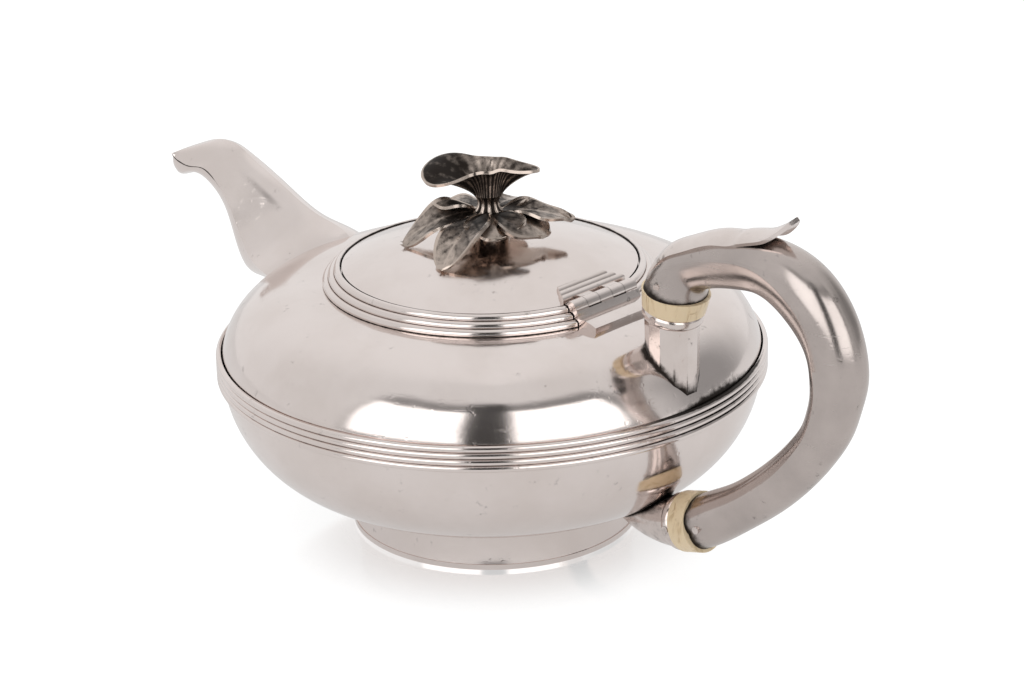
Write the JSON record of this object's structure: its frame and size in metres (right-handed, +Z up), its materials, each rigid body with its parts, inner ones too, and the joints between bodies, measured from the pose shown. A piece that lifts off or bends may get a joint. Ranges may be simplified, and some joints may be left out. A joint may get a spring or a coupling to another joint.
{
  "type": "teapot",
  "caption": "Squat round silver teapot with a hinged domed lid and flower finial, reeded girdle, broad-based spout and hollow scroll handle on ivory insulators.",
  "frame": {"origin": "axis of the round body, at the plane the foot stands on", "axes": "+Z up along the body's axis, +X towards the handle, -X towards the spout, +Y across"},
  "size_m": [0.2852, 0.167, 0.1225],
  "materials": {
    "silver": "soft worn polish",
    "oxidised_silver": "cast, oxidised dark in the hollows",
    "ivory": "aged satin"
  },
  "bodies": {
    "pot": {"bowl": "silver", "shoulder": "silver", "girdle_band": "silver", "foot_ring": "silver", "rim_mount": "silver", "lid_bearer": "silver", "spout": "silver", "hinge_plate": "silver", "hinge_knuckles_fixed": "silver", "hinge_pin": "silver", "upper_socket": "silver", "upper_collar": "silver", "upper_insulator": "ivory", "upper_pins": "silver", "handle_near": "silver", "handle_far": "silver", "thumb_leaf": "silver", "lower_insulator": "ivory", "lower_pins": "silver", "lower_collar": "silver", "lower_socket": "silver"},
    "lid": {"lid_dome": "silver", "lid_hinge_bar": "silver", "hinge_knuckles_lid": "silver", "finial_leaves": "oxidised_silver", "finial_stem": "oxidised_silver", "finial_bloom": "oxidised_silver", "finial_stud": "oxidised_silver", "finial_washer": "oxidised_silver", "finial_nut": "oxidised_silver"}
  },
  "joints": [
    {"name": "lid_hinge", "type": "hinge", "parent": "pot", "child": "lid", "pos_m": [0.0454, 0, 0.0812], "axis": [0, 1, 0], "range_deg": [0, 84]}
  ]
}
